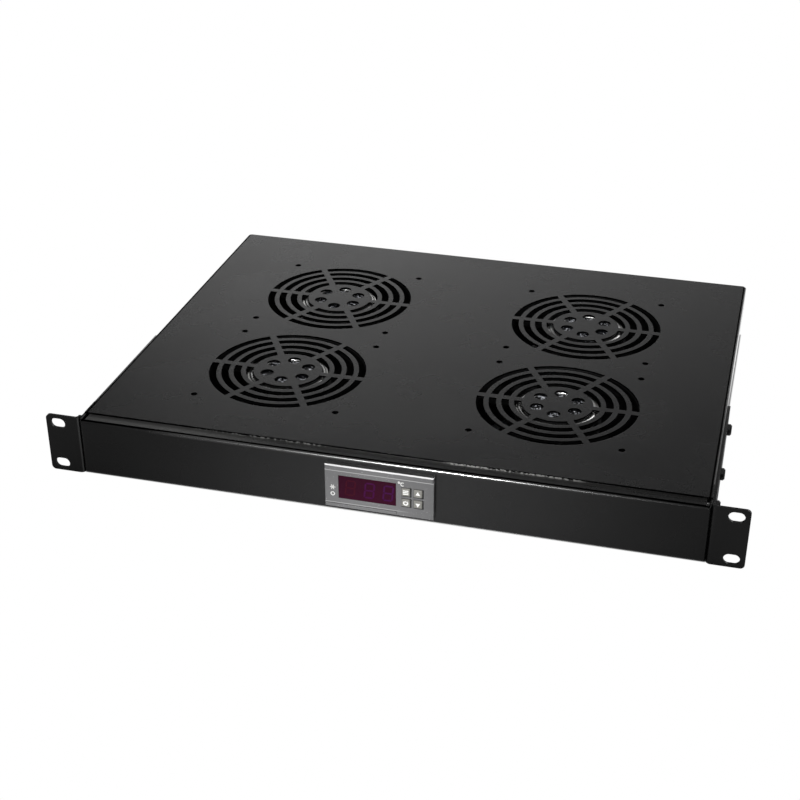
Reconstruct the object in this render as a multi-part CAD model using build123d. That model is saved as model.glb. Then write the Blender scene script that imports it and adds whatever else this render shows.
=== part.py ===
from build123d import *
import os
from math import cos, radians, sin, sqrt

# Rack fan tray, one rack unit high, with four 120 mm axial fans under a punched
# top plate and a thermostat in the front panel. Millimetres.
# Origin: centre of the four rack slots, on the front face of the ears.
# +X to the right seen from the front, +Y towards the back of the rack, +Z up.

# Rack interface
rack_width = 482.6
ear_height = 44.0
slot_inset = 8.75
slot_pitch_z = 31.75
slot_length = 10.7
slot_height = 7.4
ear_corner_radius = 3.0

# Ear brackets
ear_thickness = 2.0
ear_bend_radius = 3.5
leg_length = 141.0
leg_tail_height = 20.0
leg_taper_start = 60.0
leg_corner_radius = 2.5
leg_drop = 2.5
leg_drop_start = 5.0

# Folded sheet parts
body_width = 432.6
sheet = 1.5
plate_bend_radius = 1.8
panel_bend_radius = 2.4
relief = 1.0
cut_past = 1.0
plate_front = 10.0
plate_depth = 334.5
flange_height = 18.0
flange_start = 27.0
panel_bottom_gap = 0.5
panel_top_flange = 26.0
panel_bottom_flange = 12.0
panel_tab_length = 25.0
rear_tab_width = 66.0
rear_tab_height = 37.0
rear_tab_corner = 4.0

# Grilles
slot_ring_count = 4
first_ring_radius = 27.9
ring_pitch = 9.0
ring_slot_width = 5.3
spoke_count = 6
spoke_width = 5.0
eye_hole_radius = 4.75
eye_circle_radius = 15.5
eye_hole_sides = 16

# Fans
fan_pitch_x = 200.0
fan_pitch_y = 130.0
fan_front_y = 106.3
fan_size = 120.0
fan_depth = 38.0
fan_hole_inset = 7.5
fan_hole_radius = 2.2
fan_flange = 5.0
fan_corner_cut = 4.0
fan_bore_radius = 57.6
fan_wall = 2.4
barrel_sides = 8
hub_seat_radius = 30.0
hub_seat_thickness = 4.0
strut_count = 4
strut_width = 7.0
strut_depth = 4.0
strut_angle = 45.0
bearing_tube_radius = 7.0
bearing_tube_sides = 8
bearing_tube_drop = 9.0
bearing_floor = 2.0

# Rotors
rotor_radius = 29.5
rotor_top_gap = 1.0
rotor_height = 31.0
rotor_wall = 2.2
blade_count = 5
blade_thickness = 1.6
blade_tip_gap = 1.1
blade_top_drop = 3.5
blade_height = 25.0
blade_width = 60.0
blade_camber = 3.5
blade_root_angle = 54.0
blade_tip_angle = 60.0
blade_sweep = 14.0
shaft_radius = 2.0
shaft_clearance = 0.05
shaft_end_gap = 1.0
stator_gap = 0.7
stator_height = 15.0
stator_lift = 2.0
stator_pole_width = 18.0

# Screws, nuts and studs
screw_radius = 2.0
screw_sides = 6
screw_hole_radius = 2.3
screw_hole_sides = 8
pan_head_radius = 4.0
pan_head_height = 3.0
pan_head_edge = 1.0
pan_head_sides = 12
ear_screw_drop = 10.0
ear_screw_first = 16.0
ear_screw_second = 57.0
ear_screw_tail = 23.0
clinch_nut_height = 3.2
clinch_nut_width = 7.0
hex_head_width = 7.0
hex_head_height = 2.8
fan_screw_recess = 1.0

# Thermostat
bezel_width = 75.0
bezel_height = 33.0
bezel_depth = 4.0
bezel_center_z = -0.6
bezel_step = 0.6
bezel_top_band = 4.3
bezel_bottom_band = 3.0
bezel_bottom_band_end = 12.0
bezel_edge = 0.7
cutout_width = 71.0
cutout_height = 29.0
case_fit = 0.2
case_depth = 62.0
case_wall = 1.8
vent_count = 4
vent_pitch = 8.0
vent_width = 2.0
vent_length = 20.0
window_width = 40.0
window_height = 17.8
window_x = -8.2
window_z = -0.4
window_thickness = 1.6
window_ledge = 1.5
lens_fit = 0.1
button_size = 5.8
button_pitch = 8.3
button_x = 22.8
button_z = -1.25
button_fit = 0.15
button_proud = 1.0
button_lip = 0.8
button_lip_thickness = 1.0
button_travel = 0.5
button_edge = 0.4
board_gap = 5.0
board_thickness = 1.6
switch_size = 4.6
switch_plunger = 2.3
switch_stroke = 1.0
clip_length = 24.0
clip_height = 12.0
clip_thickness = 2.2
clip_tooth = 0.8
clip_teeth = 6
terminal_width = 50.0
terminal_height = 16.0
terminal_depth = 10.0
terminal_poles = 8
terminal_entry_width = 4.4
terminal_entry_height = 5.6
terminal_entry_depth = 6.0
terminal_floor = 1.0
terminal_screw_width = 3.6
terminal_screw_depth = 2.5

# Mains inlet and wiring
inlet_x = 0.0
inlet_z = 3.0
inlet_flange_width = 50.0
inlet_flange_height = 23.0
inlet_flange_depth = 3.0
inlet_flange_taper = 0.9
inlet_body_width = 27.4
inlet_body_height = 19.6
inlet_body_depth = 18.0
inlet_cavity_width = 24.0
inlet_cavity_height = 16.2
inlet_cavity_depth = 17.0
inlet_corner_cut = 4.5
inlet_fit = 0.3
inlet_screw_pitch = 40.0
pin_width = 4.0
pin_thickness = 2.0
pin_length = 13.0
pin_spacing = 7.0
pin_earth_lift = 2.0
spade_length = 8.0
inlet_screw_radius = 1.5
inlet_hole_radius = 1.7
inlet_head_radius = 2.8
inlet_head_height = 1.8
inlet_nut_width = 5.5
inlet_nut_height = 2.4

plate_top = ear_height / 2
plate_underside = plate_top - sheet
plate_rear = plate_front + plate_depth
body_half = body_width / 2
panel_bottom = -ear_height / 2 + panel_bottom_gap
screw_row_z = plate_top - ear_screw_drop
ear_screw_rows = [ear_screw_first, ear_screw_second, leg_length - ear_screw_tail]
slot_pitch_x = rack_width - 2 * slot_inset
fan_hole_pitch = fan_size - 2 * fan_hole_inset
fan_centers = [
    (side * fan_pitch_x / 2, fan_front_y + row * fan_pitch_y)
    for row in (0, 1)
    for side in (-1, 1)
]
case_width = cutout_width - 2 * case_fit
case_height = cutout_height - 2 * case_fit
bezel_face = -(bezel_depth - bezel_step)


def fold(points, thickness, outer_radius, side=1):
    """Section of a bent sheet: the outer line with round bends, and the inner
    line one thickness to its left (side=1) or right (side=-1)."""
    steps = [
        ((b[0] - a[0]), (b[1] - a[1])) for a, b in zip(points, points[1:])
    ]
    lengths = [sqrt(dx * dx + dy * dy) for dx, dy in steps]
    normals = [
        (-side * dy / n, side * dx / n) for (dx, dy), n in zip(steps, lengths)
    ]
    first, last = normals[0], normals[-1]
    inner = [(points[0][0] + thickness * first[0], points[0][1] + thickness * first[1])]
    for point, a, b in zip(points[1:-1], normals, normals[1:]):
        inner.append(
            (point[0] + thickness * (a[0] + b[0]), point[1] + thickness * (a[1] + b[1]))
        )
    inner.append((points[-1][0] + thickness * last[0], points[-1][1] + thickness * last[1]))
    outside = FilletPolyline(*points, radius=outer_radius)
    inside = FilletPolyline(*inner, radius=outer_radius - thickness)
    ends = Line(points[0], inner[0]) + Line(points[-1], inner[-1])
    return make_face(outside + inside + ends)


def along_x(section, low, high):
    """A section drawn in (Y, Z), carried from x = low to x = high."""
    return extrude(Plane.YZ.offset(low) * section, high - low)


def along_y(section, low, high):
    """A section drawn in (X, Z), carried from y = low to y = high."""
    return extrude(Plane.XZ.offset(-high) * section, high - low)


def block(low, high):
    """A box between two corners."""
    size = [b - a for a, b in zip(low, high)]
    return Pos(*low) * Box(*size, align=(Align.MIN, Align.MIN, Align.MIN))


def few_sided(radius, sides):
    """Outline around a circle, for a small hole or head that repeats often."""
    return RegularPolygon(radius, sides, major_radius=False)


def shank(radius):
    """Outline of a screw's shank, inside its thread circle."""
    return RegularPolygon(radius, screw_sides)


def cut_square(size, corner):
    """Square with its four corners cut off at 45 degrees."""
    across = sqrt(2) * (size - corner)
    return Rectangle(size, size) & Rot(0, 0, 45) * Rectangle(across, across)


def side_hole(side, y):
    """Cutter for one ear screw's hole through leg, tab and flange."""
    outline = few_sided(screw_hole_radius, screw_hole_sides)
    depth = 2 * (sheet + ear_thickness)
    start = side * body_half - depth / 2
    return extrude(Plane.YZ.offset(start) * Pos(y, screw_row_z) * outline, depth)


def save(node, shape):
    shape.label = node
    export_step(shape, f"parts/{node}.step")


def grille():
    """The punched openings over one fan, as one sketch about its centre."""
    rings = Sketch()
    for ring in range(slot_ring_count):
        radius = first_ring_radius + ring * ring_pitch
        rings += Circle(radius + ring_slot_width / 2) - Circle(radius - ring_slot_width / 2)
    outer_radius = first_ring_radius + slot_ring_count * ring_pitch
    for turn in range(spoke_count // 2):
        rings -= Rot(0, 0, turn * 360 / spoke_count) * Rectangle(2 * outer_radius, spoke_width)
    eyes = PolarLocations(eye_circle_radius, spoke_count, start_angle=180 / spoke_count)
    corners = GridLocations(fan_hole_pitch, fan_hole_pitch, 2, 2)
    rings += eyes * few_sided(eye_hole_radius, eye_hole_sides)
    return rings + corners * few_sided(screw_hole_radius, screw_hole_sides)


def top_plate():
    """Flat plate with the four grilles, side flanges, and a rear flange that
    drops further at the mains inlet. Corners are open, as bent sheet leaves them."""
    corner = plate_bend_radius + relief
    flat = block(
        (-body_half + plate_bend_radius, plate_front, plate_underside),
        (body_half - plate_bend_radius, plate_rear - plate_bend_radius, plate_top),
    )
    flat += block(
        (-body_half, plate_front, plate_underside),
        (body_half, flange_start - relief, plate_top),
    )
    sides = fold(
        [
            (-body_half, plate_top - flange_height),
            (-body_half, plate_top),
            (body_half, plate_top),
            (body_half, plate_top - flange_height),
        ],
        sheet,
        plate_bend_radius,
        side=-1,
    )
    rear = fold(
        [
            (plate_rear - 2 * corner, plate_top),
            (plate_rear, plate_top),
            (plate_rear, plate_top - flange_height),
        ],
        sheet,
        plate_bend_radius,
        side=-1,
    )
    plate = flat + along_y(sides, flange_start, plate_rear - corner)
    plate += along_x(rear, -body_half + corner, body_half - corner)
    tab = RectangleRounded(rear_tab_width, rear_tab_height, rear_tab_corner)
    tab_z = plate_top - plate_bend_radius - rear_tab_height / 2
    tab = Pos(inlet_x, tab_z) * tab
    tab -= Pos(inlet_x, plate_top) * Rectangle(rear_tab_width, 2 * flange_height - plate_bend_radius)
    tab += Pos(inlet_x, plate_top - flange_height) * Rectangle(rear_tab_width, 2 * relief)
    plate += along_y(tab, plate_rear - sheet, plate_rear)
    plate -= along_y(inlet_cutout(), plate_rear - 2 * sheet, plate_rear + sheet)

    holes = Sketch()
    for x, y in fan_centers:
        holes += Pos(x, y) * grille()
    plate -= extrude(Pos(0, 0, plate_underside - cut_past) * holes, sheet + 2 * cut_past)
    for side in (-1, 1):
        for y in ear_screw_rows[1:]:
            plate -= side_hole(side, y)
    return plate


def front_panel():
    """Folded panel: a face with a long flange under the plate, a short flange
    below, and a full-height tab at each end behind the ear brackets."""
    corner = panel_bend_radius + relief
    profile = fold(
        [
            (panel_top_flange, plate_underside),
            (0, plate_underside),
            (0, panel_bottom),
            (panel_bottom_flange, panel_bottom),
        ],
        sheet,
        panel_bend_radius,
    )
    panel = along_x(profile, -body_half + corner, body_half - corner)
    height = plate_underside - panel_bottom
    outline = RectangleRounded(2 * panel_top_flange, height, panel_bend_radius)
    middle = Pos(panel_top_flange, panel_bottom + height / 2)
    rounded = along_x(middle * outline, -body_half, body_half)
    for side in (-1, 1):
        tab = fold(
            [
                (side * (body_half - 2 * corner), 0),
                (side * body_half, 0),
                (side * body_half, panel_tab_length),
            ],
            sheet,
            panel_bend_radius,
            side=side,
        )
        panel += extrude(Pos(0, 0, panel_bottom) * tab, height) & rounded
        panel -= side_hole(side, ear_screw_first)
    cutout = Pos(0, bezel_center_z) * Rectangle(cutout_width, cutout_height)
    return panel - along_y(cutout, -sheet, 2 * sheet)


def rack_ear(side):
    """L bracket: slotted ear in front, and a tapered leg along the side of the tray
    whose top stays a little below the plate."""
    section = fold(
        [
            (side * rack_width / 2, 0),
            (side * body_half, 0),
            (side * body_half, leg_length),
        ],
        ear_thickness,
        ear_bend_radius,
        side=-side,
    )
    ear = extrude(Pos(0, 0, -ear_height / 2) * section, ear_height)
    taper = make_face(
        Polyline(
            (leg_taper_start, -ear_height / 2),
            (leg_length, plate_top - leg_tail_height),
            (leg_length, -ear_height),
            (leg_taper_start, -ear_height),
            close=True,
        )
    )
    reach = body_half + 2 * ear_thickness
    ear -= along_x(taper, -reach, reach)
    ear -= block(
        (-reach, leg_drop_start, plate_top - leg_drop),
        (reach, leg_length + cut_past, plate_top + cut_past),
    )
    front = ear.edges().filter_by(Axis.Y).filter_by(
        lambda e: abs(abs(e.center().X) - rack_width / 2) < 0.01
    )
    ear = fillet(front, ear_corner_radius)
    tail = ear.edges().filter_by(Axis.X).filter_by(
        lambda e: abs(e.center().Y - leg_length) < 0.01
    )
    ear = fillet(tail, leg_corner_radius)
    slots = Sketch() + [
        Pos(side * slot_pitch_x / 2, up * slot_pitch_z / 2) * SlotOverall(slot_length, slot_height)
        for up in (-1, 1)
    ]
    ear -= along_y(slots, -ear_thickness, 2 * ear_thickness)
    for y in ear_screw_rows:
        ear -= side_hole(side, y)
    return ear


def ear_fasteners():
    """Pan-head screws outside the legs and clinch nuts inside the flanges, built
    along +X at the right side and turned for the left."""
    head = extrude(Plane.YZ * few_sided(pan_head_radius, pan_head_sides), pan_head_height)
    head = chamfer(head.faces().sort_by(Axis.X)[-1].edges(), pan_head_edge)
    grip = ear_thickness + sheet + clinch_nut_height
    core = shank(screw_radius)
    screw = Pos(ear_thickness, 0, 0) * head + extrude(Plane.YZ.offset(ear_thickness) * core, -grip)
    ring = few_sided(clinch_nut_width / 2, screw_sides) - core
    nut = extrude(Plane.YZ.offset(-sheet) * ring, -clinch_nut_height)
    screws, nuts = [], []
    for side in (-1, 1):
        for y in ear_screw_rows:
            place = Pos(side * body_half, y, screw_row_z) * Rot(0, 0, 0 if side > 0 else 180)
            screws.append(place * screw)
            nuts.append(place * nut)
    return Compound(children=screws), Compound(children=nuts)


def fan_frame(x, y):
    """Die-cast square frame: two flanges, an eight-sided barrel, round bore, and a
    spider below that carries the hub seat and the bored bearing tube."""
    square = cut_square(fan_size, fan_corner_cut)
    barrel = Rot(0, 0, 180 / barrel_sides) * few_sided(fan_bore_radius + fan_wall, barrel_sides)
    frame = extrude(square, -fan_flange) + extrude(barrel, -fan_depth)
    frame += extrude(Pos(0, 0, -fan_depth) * square, fan_flange)
    corners = GridLocations(fan_hole_pitch, fan_hole_pitch, 2, 2)
    holes = Sketch() + corners * few_sided(fan_hole_radius, screw_hole_sides)
    frame -= extrude(holes + Circle(fan_bore_radius), -fan_depth)
    seat = extrude(Pos(0, 0, -fan_depth) * Circle(hub_seat_radius), hub_seat_thickness)
    bar = extrude(
        Pos(0, 0, -fan_depth) * Rectangle(2 * fan_bore_radius + fan_wall, strut_width), strut_depth
    )
    for turn in range(strut_count // 2):
        seat += Rot(0, 0, strut_angle + turn * 360 / strut_count) * bar
    tube = few_sided(bearing_tube_radius, bearing_tube_sides)
    seat += extrude(Pos(0, 0, -bearing_tube_drop) * tube, bearing_tube_drop - fan_depth)
    bore = Pos(0, 0, -bearing_tube_drop) * Circle(shaft_radius + shaft_clearance)
    seat -= extrude(bore, bearing_tube_drop + bearing_floor - fan_depth)
    return Pos(x, y, plate_underside) * (frame + seat)


def at_angle(radius, degrees):
    """Point on a circle about the fan's centre."""
    return (radius * cos(radians(degrees)), radius * sin(radians(degrees)))


def blade():
    """One blade: a cambered sheet that slopes across the fan, cut to an outline
    whose edges sweep forward from the hub to the running gap."""
    half_width, half_height = blade_width / 2, blade_height / 2
    slope = sqrt(half_width**2 + half_height**2)
    normal = (-half_height / slope, half_width / slope)

    def line_of_sheet(offset):
        ends = [
            (side * half_width + normal[0] * offset, side * half_height + normal[1] * offset)
            for side in (-1, 1)
        ]
        middle = tuple(n * (blade_camber + offset) for n in normal)
        return ends, ThreePointArc(ends[0], middle, ends[1])

    (low_a, high_a), under = line_of_sheet(-blade_thickness / 2)
    (low_b, high_b), over = line_of_sheet(blade_thickness / 2)
    sheet_section = make_face(under + over + Line(low_a, low_b) + Line(high_a, high_b))
    root = rotor_radius - rotor_wall / 2
    tip = fan_bore_radius - blade_tip_gap
    wing = extrude(Plane.YZ.offset(root / 2) * sheet_section, fan_bore_radius)
    edges = []
    corners = []
    for side in (-1, 1):
        start = at_angle(root, side * blade_root_angle / 2)
        end = at_angle(tip, side * blade_tip_angle / 2 + blade_sweep)
        edges.append(Line(start, end))
        corners.append((start, end))
    rim = ThreePointArc(corners[0][1], at_angle(tip, blade_sweep), corners[1][1])
    foot = ThreePointArc(corners[0][0], at_angle(root, 0), corners[1][0])
    outline = make_face(edges[0] + rim + edges[1] + foot)
    wing &= extrude(Pos(0, 0, -blade_width) * outline, 2 * blade_width)
    drop = rotor_top_gap + blade_top_drop + blade_height / 2
    return Pos(0, 0, -drop) * wing


def fan_rotor(x, y):
    """Rotor cup, open below over the stator, with its blades."""
    top = -rotor_top_gap
    bottom = top - rotor_height
    cup = make_face(
        Polyline(
            (0, top),
            (rotor_radius, top),
            (rotor_radius, bottom),
            (rotor_radius - rotor_wall, bottom),
            (rotor_radius - rotor_wall, top - rotor_wall),
            (0, top - rotor_wall),
            close=True,
        )
    )
    rotor = revolve(Plane.XZ * cup, Axis.Z)
    for turn in range(blade_count):
        rotor += Rot(0, 0, turn * 360 / blade_count) * blade()
    return Pos(x, y, plate_underside) * rotor


def fan_shaft(x, y):
    """Shaft from under the rotor's crown down into the bearing tube."""
    top = -rotor_top_gap - rotor_wall
    bottom = bearing_floor + shaft_end_gap - fan_depth
    return Pos(x, y, plate_underside + top) * extrude(Circle(shaft_radius), bottom - top)


def fan_stator(x, y):
    """Laminated four-pole stator pressed on the bearing tube."""
    inner = rotor_radius - rotor_wall - stator_gap
    reach = sqrt(inner**2 - (stator_pole_width / 2) ** 2)
    cross = Rectangle(2 * reach, stator_pole_width) + Rectangle(stator_pole_width, 2 * reach)
    yoke = Rot(0, 0, 45) * Rectangle(2 * stator_pole_width, 2 * stator_pole_width)
    section = cross + yoke - few_sided(bearing_tube_radius, bearing_tube_sides)
    low = plate_underside - fan_depth + hub_seat_thickness + stator_lift
    return Pos(x, y, low) * extrude(section, stator_height)


def fan_screws():
    """Hex-head screws in the corner pockets, up through the top flanges into the
    plate, their tips just below its top face."""
    top = plate_top - fan_screw_recess
    seat = plate_underside - fan_flange
    screw = extrude(Pos(0, 0, seat) * shank(screw_radius), top - seat)
    screw += extrude(Pos(0, 0, seat) * few_sided(hex_head_width / 2, screw_sides), -hex_head_height)
    corners = GridLocations(fan_hole_pitch, fan_hole_pitch, 2, 2)
    screws = [Pos(x, y) * place * screw for x, y in fan_centers for place in corners]
    return Compound(children=screws)


def bezel_window(clearance=0.0):
    """Outline of the display opening, about the bezel's centre."""
    return Pos(window_x, window_z) * Rectangle(
        window_width - 2 * clearance, window_height - 2 * clearance
    )


def button_places():
    """Centres of the four buttons on the bezel, row by row."""
    return [
        (button_x + col * button_pitch / 2, bezel_center_z + button_z + row * button_pitch / 2)
        for row in (1, -1)
        for col in (-1, 1)
    ]


def controller_bezel():
    """Front bezel: raised bands above and below a recessed face, with a ledge for
    the lens and four button openings."""
    half_width, half_height = bezel_width / 2, bezel_height / 2
    body = Pos(0, bezel_center_z) * Rectangle(bezel_width, bezel_height)
    bezel = along_y(body, -bezel_depth, 0)
    front = bezel.edges().filter_by(lambda e: abs(e.center().Y + bezel_depth) < 0.01)
    bezel = chamfer(front, bezel_edge)
    face_top = bezel_center_z + half_height - bezel_top_band
    face_bottom = bezel_center_z - half_height + bezel_bottom_band
    bezel -= block(
        (-half_width, -bezel_depth - cut_past, face_bottom), (half_width, bezel_face, face_top)
    )
    bezel -= block(
        (bezel_bottom_band_end, -bezel_depth - cut_past, bezel_center_z - half_height),
        (half_width, bezel_face, face_bottom),
    )
    window = Pos(0, bezel_center_z) * bezel_window()
    ledge = Pos(0, bezel_center_z) * bezel_window(window_ledge)
    bezel -= along_y(window, -bezel_depth - cut_past, bezel_face + window_thickness)
    bezel -= along_y(ledge, -bezel_depth - cut_past, cut_past)
    hole = button_size + 2 * button_fit
    for x, z in button_places():
        bezel -= along_y(Pos(x, z) * Rectangle(hole, hole), -bezel_depth - cut_past, cut_past)
    return bezel


def display_window():
    """Dark lens seated on the bezel's ledge."""
    lens = Pos(0, bezel_center_z) * bezel_window(lens_fit)
    return along_y(lens, bezel_face, bezel_face + window_thickness)


def display_module():
    """Seven-segment display block between the lens and the board."""
    block_face = Pos(0, bezel_center_z) * bezel_window(window_ledge + case_fit)
    return along_y(block_face, bezel_face + window_thickness + case_fit, board_gap)


def button(x, z):
    """Button cap with a retaining lip behind the bezel."""
    cap = Pos(x, z) * Rectangle(button_size, button_size)
    lip_size = button_size + 2 * button_lip
    lip = Pos(x, z) * Rectangle(lip_size, lip_size)
    lip_front = button_fit
    key = along_y(cap, bezel_face - button_proud, lip_front)
    front = key.edges().filter_by(lambda e: abs(e.center().Y - bezel_face + button_proud) < 0.01)
    key = chamfer(front, button_edge)
    return key + along_y(lip, lip_front, lip_front + button_lip_thickness)


def controller_board():
    """Circuit board behind the display, and the four key switches on it."""
    width = case_width - 2 * case_wall - 2 * case_fit
    height = case_height - 2 * case_wall - 2 * case_fit
    outline = Pos(0, bezel_center_z) * Rectangle(width, height)
    board = along_y(outline, board_gap, board_gap + board_thickness)
    plunger_face = button_fit + button_lip_thickness + button_travel + button_fit
    body_face = plunger_face + switch_stroke
    switches = []
    for x, z in button_places():
        body = along_y(Pos(x, z) * Rectangle(switch_size, switch_size), body_face, board_gap)
        plunger = Pos(x, z) * Rectangle(switch_plunger, switch_plunger)
        switches.append(body + along_y(plunger, plunger_face, body_face))
    return board, Compound(children=switches)


def controller_case():
    """Case behind the panel, open to the bezel, with a row of vents above and
    below."""
    outline = Pos(0, bezel_center_z) * Rectangle(case_width, case_height)
    inside = Pos(0, bezel_center_z) * Rectangle(
        case_width - 2 * case_wall, case_height - 2 * case_wall
    )
    case = along_y(outline, 0, case_depth) - along_y(inside, 0, case_depth - case_wall)
    vents = Sketch() + GridLocations(vent_pitch, 1, vent_count, 1) * Rectangle(
        vent_width, vent_length
    )
    return case - extrude(Pos(0, case_depth / 2, -ear_height) * vents, 2 * ear_height)


def controller_clip(side):
    """Spring clip that slides along the case and pulls the bezel to the panel."""
    inner = side * case_width / 2
    outer = inner + side * clip_thickness
    low, high = sheet, sheet + clip_length
    points = [(inner, low), (outer, low), (outer, high), (inner, high)]
    step = clip_length / clip_teeth
    tooth_points = []
    for index in range(clip_teeth):
        tooth_points.append((outer + side * clip_tooth, low + (index + 0.5) * step))
        tooth_points.append((outer, low + (index + 1) * step))
    outline = [points[0], points[1]] + tooth_points + [points[3]]
    section = make_face(Polyline(*outline, close=True))
    return extrude(Pos(0, 0, bezel_center_z - clip_height / 2) * section, clip_height)


def controller_terminals():
    """Screw terminal block on the back of the case, and its screws."""
    low = case_depth
    high = low + terminal_depth
    bottom = bezel_center_z - terminal_height / 2
    top = bottom + terminal_height
    body = along_y(
        Pos(0, bezel_center_z) * Rectangle(terminal_width, terminal_height), low, high
    )
    screws = []
    for place in GridLocations(terminal_width / terminal_poles, 1, terminal_poles, 1):
        x = place.position.X
        entry = Pos(x, bottom + terminal_floor + terminal_entry_height / 2) * Rectangle(
            terminal_entry_width, terminal_entry_height
        )
        body -= along_y(entry, high - terminal_entry_depth, high)
        screw = Pos(x, (low + high) / 2, top) * extrude(
            Rectangle(terminal_screw_width, terminal_screw_width), -terminal_screw_depth
        )
        body -= screw
        screws.append(screw)
    return body, Compound(children=screws)


def inlet_screw_places():
    """Centres of the two inlet screws, in (X, Z)."""
    return [Pos(inlet_x + side * inlet_screw_pitch / 2, inlet_z) for side in (-1, 1)]


def inlet_screw_holes():
    """Outline of the two inlet screws' clearance holes, in (X, Z)."""
    hole = few_sided(inlet_hole_radius, screw_hole_sides)
    return Sketch() + [place * hole for place in inlet_screw_places()]


def inlet_cutout():
    """Openings in the rear flange for the mains inlet, drawn in (X, Z)."""
    opening = Pos(inlet_x, inlet_z) * Rectangle(
        inlet_body_width + 2 * inlet_fit, inlet_body_height + 2 * inlet_fit
    )
    return opening + inlet_screw_holes()


def mains_inlet():
    """Three-pin appliance inlet: flange outside the rear flange, body inside,
    a cavity with two cut corners, and three blades with spades behind."""
    center = Pos(inlet_x, inlet_z)
    outside = plate_rear + inlet_flange_depth
    inside = plate_rear - inlet_body_depth
    flange = Rectangle(inlet_flange_width, inlet_flange_height) & Rot(0, 0, 45) * Rectangle(
        inlet_flange_width * inlet_flange_taper, inlet_flange_width * inlet_flange_taper
    )
    body = center * Rectangle(inlet_body_width, inlet_body_height)
    shell = along_y(center * flange, plate_rear, outside) + along_y(body, inside, plate_rear)
    half_w, half_h = inlet_cavity_width / 2, inlet_cavity_height / 2
    mouth = center * make_face(
        Polyline(
            (-half_w, -half_h),
            (half_w, -half_h),
            (half_w, half_h - inlet_corner_cut),
            (half_w - inlet_corner_cut, half_h),
            (-half_w + inlet_corner_cut, half_h),
            (-half_w, half_h - inlet_corner_cut),
            close=True,
        )
    )
    floor = outside - inlet_cavity_depth
    shell -= along_y(mouth, floor, outside)
    shell -= along_y(inlet_screw_holes(), plate_rear, outside)
    pins = []
    for index in (-1, 0, 1):
        lift = pin_earth_lift if index == 0 else -pin_earth_lift
        pin = center * Pos(index * pin_spacing, lift) * Rectangle(pin_thickness, pin_width)
        blade_and_spade = along_y(pin, inside - spade_length, floor + pin_length)
        shell -= blade_and_spade
        pins.append(blade_and_spade)
    return shell, Compound(children=pins)


def inlet_screws():
    """Two screws through the inlet's flange and the rear flange, with their nuts."""
    outside = plate_rear + inlet_flange_depth
    nut_face = plate_rear - sheet
    screws = []
    for place in inlet_screw_places():
        head = place * few_sided(inlet_head_radius, pan_head_sides)
        core = place * shank(inlet_screw_radius)
        nut = place * few_sided(inlet_nut_width / 2, screw_sides)
        screw = along_y(head, outside, outside + inlet_head_height)
        screw += along_y(core, nut_face - inlet_nut_height, outside)
        screws.append(screw + along_y(nut, nut_face - inlet_nut_height, nut_face))
    return Compound(children=screws)


os.makedirs("parts", exist_ok=True)

save("top_plate", top_plate())
save("front_panel", front_panel())
save("rack_ear_left", rack_ear(-1))
save("rack_ear_right", rack_ear(1))
ear_screws, ear_nuts = ear_fasteners()
save("ear_screws", ear_screws)
save("ear_clinch_nuts", ear_nuts)
for number, (fan_x, fan_y) in enumerate(fan_centers, start=1):
    save(f"fan_frame_{number}", fan_frame(fan_x, fan_y))
    save(f"fan_rotor_{number}", fan_rotor(fan_x, fan_y))
    save(f"fan_shaft_{number}", fan_shaft(fan_x, fan_y))
    save(f"fan_stator_{number}", fan_stator(fan_x, fan_y))
save("fan_screws", fan_screws())
save("controller_bezel", controller_bezel())
save("controller_case", controller_case())
save("display_window", display_window())
save("display_module", display_module())
board, switches = controller_board()
save("controller_board", board)
save("key_switches", switches)
button_names = ["set_button", "up_button", "reset_button", "down_button"]
for name, (x, z) in zip(button_names, button_places()):
    save(name, button(x, z))
save("controller_clip_left", controller_clip(-1))
save("controller_clip_right", controller_clip(1))
terminals, terminal_screws = controller_terminals()
save("controller_terminals", terminals)
save("terminal_screws", terminal_screws)
inlet, inlet_pins = mains_inlet()
save("mains_inlet", inlet)
save("inlet_pins", inlet_pins)
save("inlet_screws", inlet_screws())
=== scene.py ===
import math

import bmesh
import bpy
import numpy as np
from mathutils import Matrix, Vector


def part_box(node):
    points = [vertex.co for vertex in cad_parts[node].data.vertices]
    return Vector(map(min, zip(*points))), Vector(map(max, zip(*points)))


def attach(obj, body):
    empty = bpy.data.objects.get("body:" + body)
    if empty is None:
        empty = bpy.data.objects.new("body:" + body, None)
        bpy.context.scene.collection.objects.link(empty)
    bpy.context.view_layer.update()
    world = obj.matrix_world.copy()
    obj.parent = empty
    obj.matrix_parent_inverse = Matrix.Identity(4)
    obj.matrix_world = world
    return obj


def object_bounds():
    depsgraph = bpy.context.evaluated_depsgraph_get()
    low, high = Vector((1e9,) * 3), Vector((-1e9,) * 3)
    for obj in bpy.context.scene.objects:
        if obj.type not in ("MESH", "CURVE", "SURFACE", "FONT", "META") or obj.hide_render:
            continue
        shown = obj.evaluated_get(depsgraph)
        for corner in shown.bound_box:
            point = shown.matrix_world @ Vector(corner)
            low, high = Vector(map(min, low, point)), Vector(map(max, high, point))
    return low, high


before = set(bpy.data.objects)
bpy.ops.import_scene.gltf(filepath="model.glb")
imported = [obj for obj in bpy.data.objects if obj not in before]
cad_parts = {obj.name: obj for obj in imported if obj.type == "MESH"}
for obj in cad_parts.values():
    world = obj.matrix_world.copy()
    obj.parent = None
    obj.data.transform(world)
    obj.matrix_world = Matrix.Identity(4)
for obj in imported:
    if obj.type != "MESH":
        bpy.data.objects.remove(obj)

# Rack fan tray: the finishes, the small details and the studio. Metres, in the frame of the model.
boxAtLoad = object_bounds()
mm = 0.001


# Building meshes

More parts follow.
